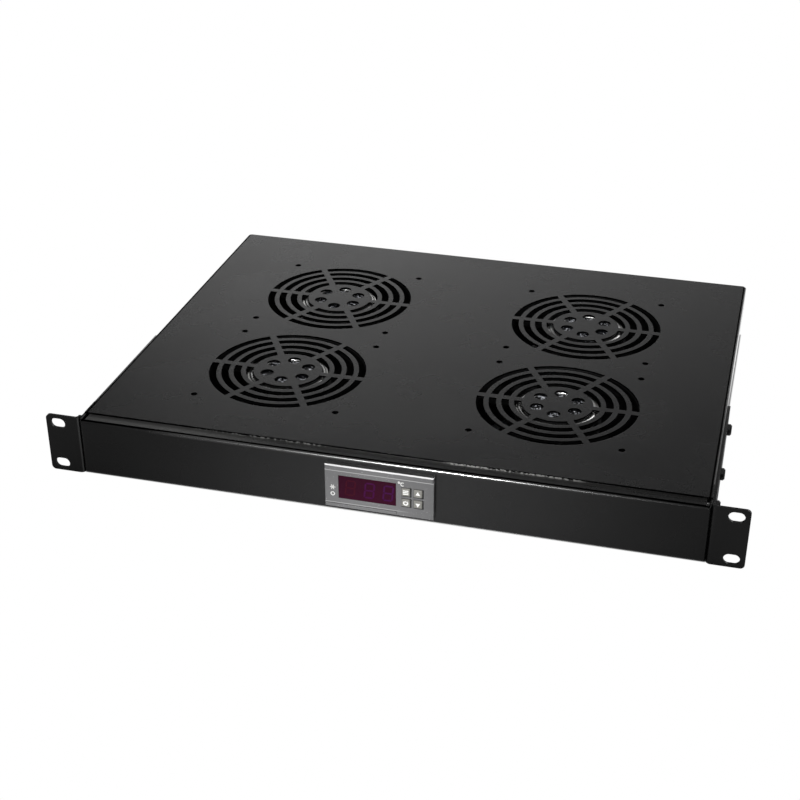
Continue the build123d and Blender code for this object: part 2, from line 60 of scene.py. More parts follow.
def makePiece(name, points, faces, body, material, slotName=None, smooth=False):
    # one closed mesh object from whole arrays of points (in mm) and faces, its faces turned outwards
    mesh = bpy.data.meshes.new(name)
    mesh.from_pydata((np.asarray(points, float) * mm).tolist(), [], [list(map(int, f)) for f in faces])
    shell = bmesh.new()
    shell.from_mesh(mesh)
    bmesh.ops.recalc_face_normals(shell, faces=shell.faces)
    shell.to_mesh(mesh)
    shell.free()
    mesh.materials.append(material)
    mesh.polygons.foreach_set("use_smooth", [smooth] * len(mesh.polygons))
    piece = bpy.data.objects.new(name, mesh)
    bpy.context.scene.collection.objects.link(piece)
    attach(piece, body)
    return piece


def gridFaces(rows, columns, closedColumns=True, closedRows=False):
    # quads between neighbours of a rows by columns grid, the last meeting the first where closed
    r, c = np.meshgrid(np.arange(rows if closedRows else rows - 1),
                       np.arange(columns if closedColumns else columns - 1), indexing="ij")
    below, across = (r + 1) % rows, (c + 1) % columns
    return np.stack([r * columns + c, r * columns + across, below * columns + across,
                     below * columns + c], -1).reshape(-1, 4)


def ringSurface(center, ringRadius, tubeRadius, flat=1.0, columns=180, rows=14):
    # torus about +Z: radius = ringRadius + tubeRadius cos(v), height = flat tubeRadius sin(v)
    v, u = np.meshgrid(np.linspace(0, 2 * np.pi, rows, endpoint=False),
                       np.linspace(0, 2 * np.pi, columns, endpoint=False), indexing="ij")
    radius = ringRadius + tubeRadius * np.cos(v)
    points = np.stack([center[0] + radius * np.cos(u), center[1] + radius * np.sin(u),
                       center[2] + flat * tubeRadius * np.sin(v)], -1).reshape(-1, 3)
    return points, gridFaces(rows, columns, closedRows=True).tolist()


def capSurface(radii, heights, columns=72):
    # a round cap: heights is a rows by columns array over radius and angle; pole and underside are closed
    angle = np.linspace(0, 2 * np.pi, columns, endpoint=False)
    radius = np.asarray(radii, float)[:, None]
    points = np.stack([radius * np.cos(angle), radius * np.sin(angle), heights], -1).reshape(-1, 3)
    rows = len(radii)
    faces = gridFaces(rows, columns).tolist()
    faces += [list(range(columns)), list(range((rows - 1) * columns, rows * columns))]
    return points, faces


def joined(parts):
    # several (points, faces) as one, each face list moved on by the points before it
    points, faces, base = [], [], 0
    for somePoints, someFaces in parts:
        points.append(np.asarray(somePoints, float))
        faces += [[int(i) + base for i in face] for face in someFaces]
        base += len(somePoints)
    return np.concatenate(points), faces


def raisedOutline(outline, back, front):
    # a flat outline in x and z as a thin solid from y = back to y = front
    outline = np.asarray(outline, float)
    count = len(outline)
    rings = [np.column_stack([outline[:, 0], np.full(count, y), outline[:, 1]]) for y in (back, front)]
    walls = gridFaces(2, count).tolist()
    return np.concatenate(rings), walls + [list(range(count)), list(range(count, 2 * count))]


def bar(center, size, turn=0.0):
    # outline of a rectangle, turned by degrees about its centre
    corners = np.array([(-1, -1), (1, -1), (1, 1), (-1, 1)]) * np.asarray(size) / 2
    c, n = math.cos(math.radians(turn)), math.sin(math.radians(turn))
    return corners @ np.array([(c, n), (-n, c)]) + np.asarray(center)


def arcBand(inner, outer, start, end, steps=20):
    # closed outline of a band of a ring: the outer arc, then the inner arc back
    turn = np.radians(np.linspace(start, end, steps))
    out = np.column_stack([outer * np.cos(turn), outer * np.sin(turn)])
    back = np.column_stack([inner * np.cos(turn), inner * np.sin(turn)])[::-1]
    return np.concatenate([out, back])


# Shader groups

def addNode(tree, kind, inputs=None, **settings):
    # a node with its settings, its inputs joined where a socket is given and set where a value is
    node = tree.nodes.new(kind)
    for key, value in settings.items():
        setattr(node, key, value)
    for key, value in (inputs or {}).items():
        if isinstance(value, bpy.types.NodeSocket):
            tree.links.new(value, node.inputs[key])
        else:
            node.inputs[key].default_value = value
    return node


def newGroup(name, inputs, outputs):
    # an empty group with named sockets; inputs are (name, kind, value)
    tree = bpy.data.node_groups.new(name, "ShaderNodeTree")
    for socketName, kind, value in inputs:
        socket = tree.interface.new_socket(name=socketName, in_out="INPUT", socket_type=kind)
        socket.default_value = value
    for socketName, kind in outputs:
        tree.interface.new_socket(name=socketName, in_out="OUTPUT", socket_type=kind)
    return tree, tree.nodes.new("NodeGroupInput"), tree.nodes.new("NodeGroupOutput")


def mathNode(tree, operation, a, b=None, clamp=False):
    inputs = {0: a}
    if b is not None:
        inputs[1] = b
    return addNode(tree, "ShaderNodeMath", inputs, operation=operation, use_clamp=clamp).outputs[0]


def ramp(tree, value, low, high, outLow=0.0, outHigh=1.0):
    # value carried from low..high to outLow..outHigh, held at both ends
    return addNode(tree, "ShaderNodeMapRange", {
        "Value": value, "From Min": low, "From Max": high, "To Min": outLow, "To Max": outHigh,
    }).outputs["Result"]


def placeMetres(tree):
    return addNode(tree, "ShaderNodeTexCoord").outputs["Object"]


def band(tree, value, low, high, soft):
    # 1 between low and high (in mm), fading over soft at each end
    rise = ramp(tree, value, (low - soft) * mm, low * mm)
    return mathNode(tree, "MULTIPLY", rise, ramp(tree, value, high * mm, (high + soft) * mm, 1.0, 0.0))


def noise(tree, place, scale, detail=2.0, roughness=0.5):
    return addNode(tree, "ShaderNodeTexNoise", {
        "Vector": place, "Scale": scale, "Detail": detail, "Roughness": roughness,
    }).outputs["Fac"]


def buildGrainGroup():
    # fine grain of a coat or moulding, with the slow unevenness under it
    tree, given, out = newGroup("surfaceGrain", [
        ("Grain", "NodeSocketFloat", 2200.0), ("Waves", "NodeSocketFloat", 260.0),
        ("Wave Share", "NodeSocketFloat", 0.4),
    ], [("Height", "NodeSocketFloat"), ("Mottle", "NodeSocketFloat"), ("Fleck", "NodeSocketFloat")])
    place = placeMetres(tree)
    grain = noise(tree, place, given.outputs["Grain"], 3.0, 0.6)
    waves = noise(tree, place, given.outputs["Waves"], 1.0)
    height = mathNode(tree, "MULTIPLY_ADD", waves, given.outputs["Wave Share"])
    tree.links.new(grain, height.node.inputs[2])
    mottle = noise(tree, place, 14.0, 3.0, 0.6)
    tree.links.new(height, out.inputs["Height"])
    tree.links.new(mottle, out.inputs["Mottle"])
    tree.links.new(ramp(tree, grain, 0.64, 0.74), out.inputs["Fleck"])
    return tree


def buildEdgeGroup():
    # mask of outer edges, from how far the softened normal leans away from the true one
    tree, given, out = newGroup("edgeWear", [
        ("Radius", "NodeSocketFloat", 0.0006), ("Patches", "NodeSocketFloat", 120.0),
    ], [("Edge", "NodeSocketFloat"), ("Worn", "NodeSocketFloat")])
    soft = addNode(tree, "ShaderNodeBevel", {"Radius": given.outputs["Radius"]}, samples=4)
    true = addNode(tree, "ShaderNodeNewGeometry")
    lean = addNode(tree, "ShaderNodeVectorMath", {0: soft.outputs[0], 1: true.outputs["Normal"]},
                   operation="DOT_PRODUCT").outputs["Value"]
    edge = ramp(tree, lean, 0.995, 0.8)
    patches = noise(tree, placeMetres(tree), given.outputs["Patches"], 4.0, 0.65)
    worn = mathNode(tree, "MULTIPLY", edge, ramp(tree, patches, 0.52, 0.66))
    tree.links.new(edge, out.inputs["Edge"])
    tree.links.new(worn, out.inputs["Worn"])
    return tree


def buildDustGroup():
    # thin dust on what faces up, thicker in slow patches
    tree, given, out = newGroup("settledDust", [("Amount", "NodeSocketFloat", 0.2)], [("Dust", "NodeSocketFloat")])
    up = addNode(tree, "ShaderNodeSeparateXYZ", {0: addNode(tree, "ShaderNodeNewGeometry").outputs["Normal"]})
    facing = ramp(tree, up.outputs["Z"], 0.6, 1.0)
    place = placeMetres(tree)
    slow = noise(tree, place, 9.0, 4.0, 0.6)
    fine = ramp(tree, noise(tree, place, 900.0, 2.0, 0.7), 0.45, 0.75)
    layer = mathNode(tree, "MULTIPLY", ramp(tree, slow, 0.35, 0.7), fine)
    dust = mathNode(tree, "MULTIPLY", mathNode(tree, "MULTIPLY", layer, facing), given.outputs["Amount"])
    tree.links.new(dust, out.inputs["Dust"])
    return tree


grainGroup = buildGrainGroup()
edgeGroup = buildEdgeGroup()
dustGroup = buildDustGroup()


def useGroup(tree, group, inputs=None):
    node = tree.nodes.new("ShaderNodeGroup")
    node.node_tree = group
    for key, value in (inputs or {}).items():
        node.inputs[key].default_value = value
    return node


def mixColor(tree, factor, a, b):
    node = addNode(tree, "ShaderNodeMix", data_type="RGBA")
    for socket, value in (("Factor", factor), ("A", a), ("B", b)):
        target = [s for s in node.inputs if s.name == socket and s.type == ("VALUE" if socket == "Factor" else "RGBA")][0]
        if isinstance(value, bpy.types.NodeSocket):
            tree.links.new(value, target)
        else:
            target.default_value = value if socket == "Factor" else (*value, 1.0)
    return [s for s in node.outputs if s.type == "RGBA"][0]


def newMaterial(name):
    material = bpy.data.materials.new(name)
    material.use_nodes = True
    tree = material.node_tree
    return material, tree, tree.nodes["Principled BSDF"]


def coatedMaterial(name, look):
    # painted or moulded surface: colour with mottling and flecks, worn edges, dust, and grain as bump
    material, tree, shader = newMaterial(name)
    grain = useGroup(tree, grainGroup, {"Grain": look["grain"], "Waves": look["waves"],
                                        "Wave Share": look["waveShare"]})
    edges = useGroup(tree, edgeGroup, {"Radius": look["edgeRadius"], "Patches": look["patches"]})
    dust = useGroup(tree, dustGroup, {"Amount": look["dust"]})
    color = mixColor(tree, ramp(tree, grain.outputs["Mottle"], 0.35, 0.65), look["dark"], look["light"])
    color = mixColor(tree, mathNode(tree, "MULTIPLY", grain.outputs["Fleck"], look["fleck"]), color, look["fleckColor"])
    color = mixColor(tree, mathNode(tree, "MULTIPLY", edges.outputs["Worn"], look["wear"]), color, look["wornColor"])
    color = mixColor(tree, dust.outputs["Dust"], color, look["dustColor"])
    tree.links.new(color, shader.inputs["Base Color"])
    rough = ramp(tree, grain.outputs["Mottle"], 0.3, 0.7, look["rough"] - 0.03, look["rough"] + 0.03)
    tree.links.new(mathNode(tree, "ADD", rough, mathNode(tree, "MULTIPLY", dust.outputs["Dust"], 0.4)),
                   shader.inputs["Roughness"])
    shader.inputs["IOR"].default_value = look["ior"]
    soft = addNode(tree, "ShaderNodeBevel", {"Radius": look["edgeRadius"]}, samples=4)
    bump = addNode(tree, "ShaderNodeBump", {
        "Height": grain.outputs["Height"], "Strength": look["bump"], "Distance": look["bumpDistance"],
        "Normal": soft.outputs[0],
    })
    tree.links.new(bump.outputs[0], shader.inputs["Normal"])
    return material, tree, shader


def metalMaterial(name, look):
    # bare metal: a little uneven in colour and gloss, with fine machining lines
    material, tree, shader = newMaterial(name)
    grain = useGroup(tree, grainGroup, {"Grain": look["grain"], "Waves": look["waves"], "Wave Share": 0.5})
    color = mixColor(tree, grain.outputs["Mottle"], look["dark"], look["light"])
    tree.links.new(color, shader.inputs["Base Color"])
    tree.links.new(ramp(tree, grain.outputs["Mottle"], 0.3, 0.7, look["rough"] - 0.06, look["rough"] + 0.06),
                   shader.inputs["Roughness"])
    shader.inputs["Metallic"].default_value = 1.0
    bump = addNode(tree, "ShaderNodeBump", {
        "Height": grain.outputs["Height"], "Strength": look["bump"], "Distance": look["bumpDistance"],
    })
    tree.links.new(bump.outputs[0], shader.inputs["Normal"])
    return material, tree, shader


def dress(nodeNames, material):
    # the material on CAD nodes whose shape is right as it is
    for name in nodeNames:
        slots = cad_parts[name].material_slots
        if not slots:
            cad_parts[name].data.materials.append(material)
        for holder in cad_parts[name].material_slots:
            holder.material = material


# Sheet metal

powderCoat = {
    "dark": (0.005, 0.005, 0.0052), "light": (0.0068, 0.0068, 0.007),
    "fleck": 0.3, "fleckColor": (0.04, 0.04, 0.042),
    "wear": 0.25, "wornColor": (0.09, 0.09, 0.09),
    "dust": 0.02, "dustColor": (0.3, 0.29, 0.27),
    "grain": 1500.0, "waves": 420.0, "waveShare": 0.6, "patches": 160.0,
    "edgeRadius": 0.0004, "rough": 0.27, "ior": 1.5, "bump": 0.5, "bumpDistance": 0.00012,
}
coatMarks = {
    "seamY": (9.2, 10.4), "seamZ": (20.3, 21.3), "seamX": (48.0, 128.0),
    "seamLeft": (0.17, 0.17, 0.165), "seamRight": (0.32, 0.32, 0.31),
    # painted light: the flange just in front of the plate's edge is lightened where the step hides the sky
    "cornerY": (7.0, 9.9), "cornerZ": (20.3, 20.7), "cornerPaintedLight": (0.035, 0.035, 0.034),
    # painted shade: black on the plate's punched walls and front edge, and a dark line over the bend
    "wallZ": (20.9, 21.9), "wallY": 9.4, "shadeLineY": (0.9, 2.3), "shadeLineZ": (19.7, 20.8),
    "bendZ": (18.2, 20.0), "bendLeft": (-168.0, -140.0), "bendRight": (20.0, 190.0),
    # painted shade in the fan screw holes
    "holeRadius": 2.4, "foldX": (100.0, 52.5), "foldY": (171.3, 65.0, 52.5),
    # painted shade on the plate's side edge, and a painted highlight on the left ear's bend
    "sideX": 213.7, "sideZ": 19.6, "earX": 214.2, "earPaintedHighlight": (0.14, 0.14, 0.14), "legX": 214.8,
    # painted light on the flange top towards its left end
    "stripY": (2.6, 9.9), "stripX": (-150.0, -70.0), "stripPaintedLight": (0.1, 0.1, 0.098),
}


def paintShade(tree, shader, mask):
    # painted shade: black, fully rough metal, which neither the sky nor the floor shows in
    color = shader.inputs["Base Color"].links[0].from_socket
    tree.links.new(mixColor(tree, mask, color, (0.0, 0.0, 0.0)), shader.inputs["Base Color"])
    rough = shader.inputs["Roughness"].links[0].from_socket
    tree.links.new(mathNode(tree, "MAXIMUM", rough, mask), shader.inputs["Roughness"])
    tree.links.new(mask, shader.inputs["Metallic"])


def screwHoleMask(tree, x, y, z):
    # 1 inside the countersunk shadow of each fan screw hole: the four fans folded on one another, then the four holes
    folded = []
    for value, folds in ((x, coatMarks["foldX"]), (y, coatMarks["foldY"])):
        if len(folds) == 3:
            value = mathNode(tree, "SUBTRACT", value, folds[0] * mm)
        for fold in folds[-2:]:
            value = mathNode(tree, "SUBTRACT", mathNode(tree, "ABSOLUTE", value), fold * mm)
        folded.append(mathNode(tree, "MULTIPLY", value, value))
    radius = mathNode(tree, "SQRT", mathNode(tree, "ADD", *folded))
    hole = ramp(tree, radius, (coatMarks["holeRadius"] - 0.2) * mm, coatMarks["holeRadius"] * mm, 1.0, 0.0)
    return mathNode(tree, "MULTIPLY", hole, ramp(tree, z, 0.020, 0.0205))


def markCoat(tree, shader):
    # light flecks along the plate's front edge, painted light on the flange and the left ear's bend, painted shade on
    # the punched walls, the plate's side edge and the screw holes, and a glossier bend under a painted dark line
    place = placeMetres(tree)
    parts = addNode(tree, "ShaderNodeSeparateXYZ", {0: place})
    x, y, z = (parts.outputs[axis] for axis in "XYZ")
    side = mathNode(tree, "ABSOLUTE", x)
    seam = mathNode(tree, "MULTIPLY", band(tree, y, *coatMarks["seamY"], 0.2), band(tree, z, *coatMarks["seamZ"], 0.1))
    seam = mathNode(tree, "MULTIPLY", seam, band(tree, side, *coatMarks["seamX"], 10.0))
    flecks = mathNode(tree, "ADD", noise(tree, place, 520.0, 2.0), ramp(tree, x, -0.01, 0.01, 0.0, 0.07))
    seam = mathNode(tree, "MULTIPLY", seam, ramp(tree, flecks, 0.5, 0.6))
    normal = addNode(tree, "ShaderNodeSeparateXYZ", {0: addNode(tree, "ShaderNodeNewGeometry").outputs["True Normal"]})
    upright = ramp(tree, mathNode(tree, "ABSOLUTE", normal.outputs["Z"]), 0.3, 0.6, 1.0, 0.0)
    wall = mathNode(tree, "MULTIPLY", upright, band(tree, z, *coatMarks["wallZ"], 0.1))
    wall = mathNode(tree, "MULTIPLY", wall, ramp(tree, y, coatMarks["wallY"] * mm, (coatMarks["wallY"] + 0.4) * mm))
    wall = mathNode(tree, "MULTIPLY", wall, ramp(tree, side, 0.210, 0.211, 1.0, 0.0))
    line = mathNode(tree, "MULTIPLY", band(tree, y, *coatMarks["shadeLineY"], 0.25), band(tree, z, *coatMarks["shadeLineZ"], 0.1))
    line = mathNode(tree, "MULTIPLY", line, ramp(tree, side, 0.214, 0.215, 1.0, 0.0))
    edge = mathNode(tree, "MULTIPLY", ramp(tree, side, coatMarks["sideX"] * mm, (coatMarks["sideX"] + 0.3) * mm),
                    ramp(tree, z, coatMarks["sideZ"] * mm, (coatMarks["sideZ"] + 0.2) * mm))
    edge = mathNode(tree, "MULTIPLY", edge, ramp(tree, side, 0.2151, 0.2154, 1.0, 0.0))
    low, high = coatMarks["stripX"]
    strip = mathNode(tree, "MULTIPLY", band(tree, y, *coatMarks["stripY"], 0.3), band(tree, z, *coatMarks["cornerZ"], 0.1))
    strip = mathNode(tree, "MULTIPLY", strip, ramp(tree, x, low * mm, high * mm, 1.0, 0.0))
    corner = mathNode(tree, "MULTIPLY", band(tree, y, *coatMarks["cornerY"], 0.4),
                      band(tree, z, *coatMarks["cornerZ"], 0.1))
    ear = mathNode(tree, "MULTIPLY", ramp(tree, normal.outputs["X"], 0.45, 0.65), ramp(tree, y, 0.001, 0.0014, 1.0, 0.0))
    ear = mathNode(tree, "MULTIPLY", ear, ramp(tree, x, -(coatMarks["earX"] + 0.3) * mm, -coatMarks["earX"] * mm, 1.0, 0.0))
    color = shader.inputs["Base Color"].links[0].from_socket
    # painted light on the flange in front of the plate's edge
    color = mixColor(tree, corner, color, coatMarks["cornerPaintedLight"])
    # painted light on the flange top at the left
    color = mixColor(tree, strip, color, coatMarks["stripPaintedLight"])
    # painted highlight on the left ear's bend
    color = mixColor(tree, ear, color, coatMarks["earPaintedHighlight"])
    seamColor = mixColor(tree, ramp(tree, x, 0.03, 0.05), coatMarks["seamLeft"], coatMarks["seamRight"])
    tree.links.new(mixColor(tree, seam, color, seamColor), shader.inputs["Base Color"])
    # painted shade on the walls, the dark line, the plate's side edge and the screw holes, except under the light
    # flecks
    dark = mathNode(tree, "MAXIMUM", mathNode(tree, "MAXIMUM", wall, line),
                    mathNode(tree, "MAXIMUM", edge, screwHoleMask(tree, x, y, z)))
    paintShade(tree, shader, mathNode(tree, "MULTIPLY", dark, mathNode(tree, "SUBTRACT", 1.0, seam)))
    bend = mathNode(tree, "MULTIPLY", band(tree, z, *coatMarks["bendZ"], 0.2), ramp(tree, y, 0.0009, 0.0012, 1.0, 0.0))
    low, high = coatMarks["bendLeft"]
    bend = mathNode(tree, "MULTIPLY", bend, ramp(tree, x, low * mm, high * mm))
    low, high = coatMarks["bendRight"]
    bend = mathNode(tree, "MULTIPLY", bend, ramp(tree, x, low * mm, high * mm, 1.0, 0.0))
    leg = ramp(tree, side, coatMarks["legX"] * mm, (coatMarks["legX"] + 0.2) * mm)
    leg = mathNode(tree, "MULTIPLY", leg, ramp(tree, y, 0.1, 0.2))
    tree.links.new(mathNode(tree, "MAXIMUM", bend, leg), shader.inputs["Coat Weight"])
    shader.inputs["Coat IOR"].default_value = 1.9
    shader.inputs["Coat Roughness"].default_value = 0.16


coatMaterial, coatTree, coatShader = coatedMaterial("satinBlackCoat", powderCoat)
markCoat(coatTree, coatShader)
dress(["top_plate", "front_panel", "rack_ear_left", "rack_ear_right"], coatMaterial)
print("sheet metal dressed")


# Fans

casting = {
    **powderCoat, "grain": 900.0, "waves": 200.0, "rough": 0.5, "fleck": 0.1, "bump": 0.5,
    "bumpDistance": 0.0002, "edgeRadius": 0.0006,
}
castMaterial, castTree, castShader = coatedMaterial("blackCasting", casting)
dress([f"fan_frame_{n}" for n in range(1, 5)], castMaterial)

rotorLook = {
    **powderCoat, "grain": 1200.0, "waves": 160.0, "rough": 0.38, "fleck": 0.0, "bump": 0.15,
    "edgeRadius": 0.0005, "rimInner": 24.4, "rimOuter": 30.2, "rimDepth": 6.0,
    "metal": (0.62, 0.62, 0.6), "bladesFrom": 31.0, "bladeShade": 0.85,
}


def rotorMaterial(number):
    # black rotor whose outer edge is bare metal: the mask is a ring about the fan's own axis
    material, tree, shader = coatedMaterial(f"rotor{number}", rotorLook)
    low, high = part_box(f"fan_shaft_{number}")
    middle = [(a + b) / 2 for a, b in zip(low, high)]
    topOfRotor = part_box(f"fan_rotor_{number}")[1][2]
    place = addNode(tree, "ShaderNodeMapping", {"Vector": placeMetres(tree),
                                                "Location": (-middle[0], -middle[1], -topOfRotor)})
    parts = addNode(tree, "ShaderNodeSeparateXYZ", {0: place.outputs[0]})
    squares = [mathNode(tree, "MULTIPLY", parts.outputs[axis], parts.outputs[axis]) for axis in "XY"]
    radius = mathNode(tree, "SQRT", mathNode(tree, "ADD", *squares))
    inside = ramp(tree, radius, rotorLook["rimInner"] * mm, (rotorLook["rimInner"] + 0.3) * mm)
    outside = ramp(tree, radius, (rotorLook["rimOuter"] - 0.2) * mm, rotorLook["rimOuter"] * mm, 1.0, 0.0)
    above = ramp(tree, parts.outputs["Z"], -rotorLook["rimDepth"] * mm, (1 - rotorLook["rimDepth"]) * mm)
    ring = mathNode(tree, "MULTIPLY", mathNode(tree, "MULTIPLY", inside, outside), above)
    oldColor = shader.inputs["Base Color"].links[0].from_socket
    tree.links.new(mixColor(tree, ring, oldColor, rotorLook["metal"]), shader.inputs["Base Color"])
    oldRough = shader.inputs["Roughness"].links[0].from_socket
    tree.links.new(mathNode(tree, "SUBTRACT", oldRough, mathNode(tree, "MULTIPLY", ring, 0.2)),
                   shader.inputs["Roughness"])
    # the blades' upper edges lie in the shade under the plate
    blades = ramp(tree, radius, rotorLook["bladesFrom"] * mm, (rotorLook["bladesFrom"] + 1.0) * mm)
    blades = mathNode(tree, "MULTIPLY", blades, rotorLook["bladeShade"])
    paintShade(tree, shader, blades)
    tree.links.new(mathNode(tree, "MAXIMUM", ring, blades), shader.inputs["Metallic"])
    return material


hub = {
    "rimRadius": 26.7, "rimTube": 2.4, "rimRise": 0.6, "topRadius": 24.6, "topRise": 0.55,
    "ringRadius": 20.6, "ringTube": 0.8, "ribs": 42, "ribInner": 8.5, "ribOuter": 18.5, "ribRise": 0.45, "boss": 6.5,
}


def hubTop():
    # height over radius and angle: radial ribs inside a ring, a low boss in the middle, a rounded border
    radii = np.linspace(0.4, hub["topRadius"], 64)
    columns = hub["ribs"] * 8
    angle = np.linspace(0, 2 * np.pi, columns, endpoint=False)
    r = radii[:, None]
    inRibs = np.clip((r - hub["ribInner"]) / 0.8, 0, 1) * np.clip((hub["ribOuter"] - r) / 0.8, 0, 1)
    heights = hub["ribRise"] * inRibs * np.clip(1.6 * np.cos(hub["ribs"] * angle) + 0.4, 0, 1)
    heights = heights + 0.35 * np.clip((hub["boss"] - r) / 0.6, 0, 1)
    border = np.clip((radii - radii[-4]) / (radii[-1] - radii[-4]), 0, 1)[:, None]
    return capSurface(radii, heights * (1 - border) - hub["topRise"] * border, columns)


rimSteel = {
    "dark": (0.6, 0.6, 0.59), "light": (0.75, 0.75, 0.74), "rough": 0.26,
    "grain": 1400.0, "waves": 240.0, "bump": 0.4, "bumpDistance": 0.0003,
}
rimMaterial = metalMaterial("rimSteel", rimSteel)[0]
hubLook = {
    **powderCoat, "dark": (0.003, 0.003, 0.004), "light": (0.006, 0.007, 0.01), "grain": 900.0,
    "waves": 150.0, "rough": 0.2, "fleck": 0.0, "bump": 0.3, "edgeRadius": 0.0002, "patches": 260.0,
    "wear": 0.8, "wornColor": (0.4, 0.4, 0.4), "patchScale": 300.0, "patchColor": (0.8, 0.82, 0.88),
}
hubMaterial, hubTree, hubShader = coatedMaterial("hubGloss", hubLook)
# light patches on the hub top
lightPatchMask = ramp(hubTree, noise(hubTree, placeMetres(hubTree), hubLook["patchScale"], 3.0, 0.7), 0.55, 0.58)
blackColor = hubShader.inputs["Base Color"].links[0].from_socket
hubTree.links.new(mixColor(hubTree, lightPatchMask, blackColor, hubLook["patchColor"]), hubShader.inputs["Base Color"])
for fanNumber in range(1, 5):
    dress([f"fan_rotor_{fanNumber}"], rotorMaterial(fanNumber))
    shaftLow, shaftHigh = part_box(f"fan_shaft_{fanNumber}")
    hubX, hubY = [(a + b) / 2 / mm for a, b in zip(shaftLow, shaftHigh)][:2]
    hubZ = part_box(f"fan_rotor_{fanNumber}")[1][2] / mm
    rings = [ringSurface((hubX, hubY, hubZ + hub["rimRise"] - hub["rimTube"]), hub["rimRadius"], hub["rimTube"]),
             ringSurface((hubX, hubY, hubZ + 0.1), hub["ringRadius"], hub["ringTube"])]
    makePiece(f"fanRim{fanNumber}", *joined(rings), f"fan_{fanNumber}", rimMaterial, "fan_rotor", smooth=True)
    topPoints, topFaces = hubTop()
    makePiece(f"fanHubTop{fanNumber}", topPoints + (hubX, hubY, hubZ + 0.02), topFaces,
              f"fan_{fanNumber}", hubMaterial, "fan_rotor", smooth=True)

steelLook = {
    "dark": (0.42, 0.42, 0.42), "light": (0.56, 0.56, 0.55), "rough": 0.3,
    "grain": 1500.0, "waves": 300.0, "bump": 0.1, "bumpDistance": 0.0001,
}
steelMaterial, steelTree, steelShader = metalMaterial("zincSteel", steelLook)
dress([f"fan_shaft_{n}" for n in range(1, 5)], steelMaterial)
dress(["ear_clinch_nuts", "terminal_screws", "inlet_screws"], steelMaterial)
laminations = {**steelLook, "dark": (0.14, 0.13, 0.125), "light": (0.2, 0.19, 0.18), "rough": 0.5}
dress([f"fan_stator_{n}" for n in range(1, 5)], metalMaterial("laminatedSteel", laminations)[0])
brassLook = {**steelLook, "dark": (0.6, 0.42, 0.16), "light": (0.72, 0.54, 0.24), "rough": 0.28}
dress(["inlet_pins"], metalMaterial("platedBrass", brassLook)[0])
print("fans dressed")


# Screws

blackZinc = {
    **powderCoat, "dark": (0.012, 0.012, 0.013), "light": (0.018, 0.018, 0.019), "rough": 0.22, "fleck": 0.0,
    "grain": 2600.0, "bump": 0.1, "edgeRadius": 0.0002, "wear": 0.6, "wornColor": (0.35, 0.35, 0.35),
}
zincMaterial = coatedMaterial("blackZinc", blackZinc)[0]
dress(["ear_screws"], zincMaterial)
# the fan screws' upper ends lie deep in unlit threads
threadMaterial, threadTree, threadShader = metalMaterial("fanScrewSteel", steelLook)
threadParts = addNode(threadTree, "ShaderNodeSeparateXYZ", {0: placeMetres(threadTree)})
paintShade(threadTree, threadShader, ramp(threadTree, threadParts.outputs["Z"], 0.015, 0.016))
threadTree.links.remove(threadShader.inputs["Metallic"].links[0])
dress(["fan_screws"], threadMaterial)

panHead = {
    "radius": 4.0, "rise": 2.75, "edge": 5.0, "armLength": 2.1, "armWidth": 0.55, "depth": 1.5,
    "rows": 44, "columns": 96, "rounding": 0.25,
}


def headSurface():
    # pan head: rise (1 - (r / radius)^edge)^0.5, less a cross whose arms fade out at their ends
    radii = np.linspace(0.06, panHead["radius"], panHead["rows"])
    angle = np.linspace(0, 2 * np.pi, panHead["columns"], endpoint=False)
    dome = panHead["rise"] * np.sqrt(np.clip(1 - (radii / panHead["radius"]) ** panHead["edge"], 0, 1))
    u, v = radii[:, None] * np.cos(angle), radii[:, None] * np.sin(angle)
    cross = 0.0
    for along, across in ((u, v), (v, u)):
        arm = np.clip((panHead["armWidth"] - np.abs(across)) / panHead["rounding"] + 0.5, 0, 1)
        end = np.clip((panHead["armLength"] - np.abs(along)) / 0.9, 0, 1)
        cross = np.maximum(cross, arm * end)
    return capSurface(radii, dome[:, None] - panHead["depth"] * cross, panHead["columns"])


def placeHeads():
    # heads on the outside of both legs, where the CAD has its screws; axis turned from +Z to +X or -X
    points, faces = headSurface()
    low, high = [np.array(corner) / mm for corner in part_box("ear_screws")]
    face = (high[0] - panHead["rise"]) - 0.25
    middle = (low[2] + high[2]) / 2
    rowsY = [low[1] + panHead["radius"] + 0.14, 57.0, high[1] - panHead["radius"] - 0.14]
    heads = []
    for side in (-1, 1):
        for y in rowsY:
            turned = np.column_stack([side * (face + points[:, 2]), y + points[:, 0], middle + side * points[:, 1]])
            heads.append((turned, faces))
    makePiece("legScrewHeads", *joined(heads), "tray", zincMaterial, "black_zinc", smooth=True)


placeHeads()

print("screws made")


# Thermostat

bezelPlastic = {
    **powderCoat, "dark": (0.14, 0.14, 0.143), "light": (0.17, 0.17, 0.173), "fleck": 1.0,
    "fleckColor": (0.42, 0.42, 0.425), "wear": 0.0, "wornColor": (0.4, 0.4, 0.4), "dust": 0.02,
    "grain": 1100.0, "waves": 500.0, "rough": 0.42, "bump": 0.8, "edgeRadius": 0.0003,
    "highlightLines": [
        # painted highlights as low and high z, last x and its fade, colour: the lit top edge, the band's step and the
        # lower step
        (15.05, 15.75, 40.0, 1.0, (0.8, 0.8, 0.8)), (11.0, 11.75, 40.0, 1.0, (0.42, 0.42, 0.42)),
        (-13.9, -13.3, 8.0, 14.0, (0.34, 0.34, 0.34)),
    ],
    # painted shade on the bezel's up-facing top side; the face darkened towards its right end
    "paintedTopShade": (0.02, 0.02, 0.02), "rightFade": (0.0, 36.0, 0.82),
}


